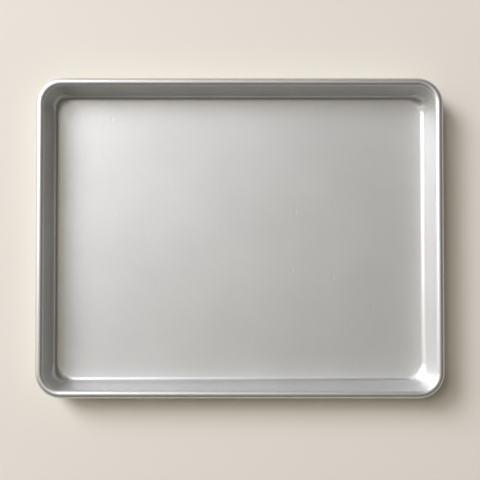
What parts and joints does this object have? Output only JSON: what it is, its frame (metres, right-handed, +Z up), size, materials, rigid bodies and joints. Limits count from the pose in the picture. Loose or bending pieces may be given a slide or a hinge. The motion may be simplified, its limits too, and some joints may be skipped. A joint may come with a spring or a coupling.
{
  "type": "jelly roll pan",
  "caption": "Shallow rectangular baking pan drawn from one aluminium sheet, with leaning walls, rounded corners and an edge curled round a steel wire.",
  "frame": {"origin": "centre of the flat underside, on the surface that the pan stands on", "axes": "+X along the long sides, +Y along the short sides towards the back, +Z up out of the open pan"},
  "size_m": [0.406, 0.319, 0.025],
  "materials": {
    "pan_sheet": "satin rolled sheet, uncoated",
    "wire": "galvanised wire"
  },
  "bodies": {
    "root": {"pan_body": "pan_sheet", "rim_wire": "wire"}
  },
  "joints": []
}
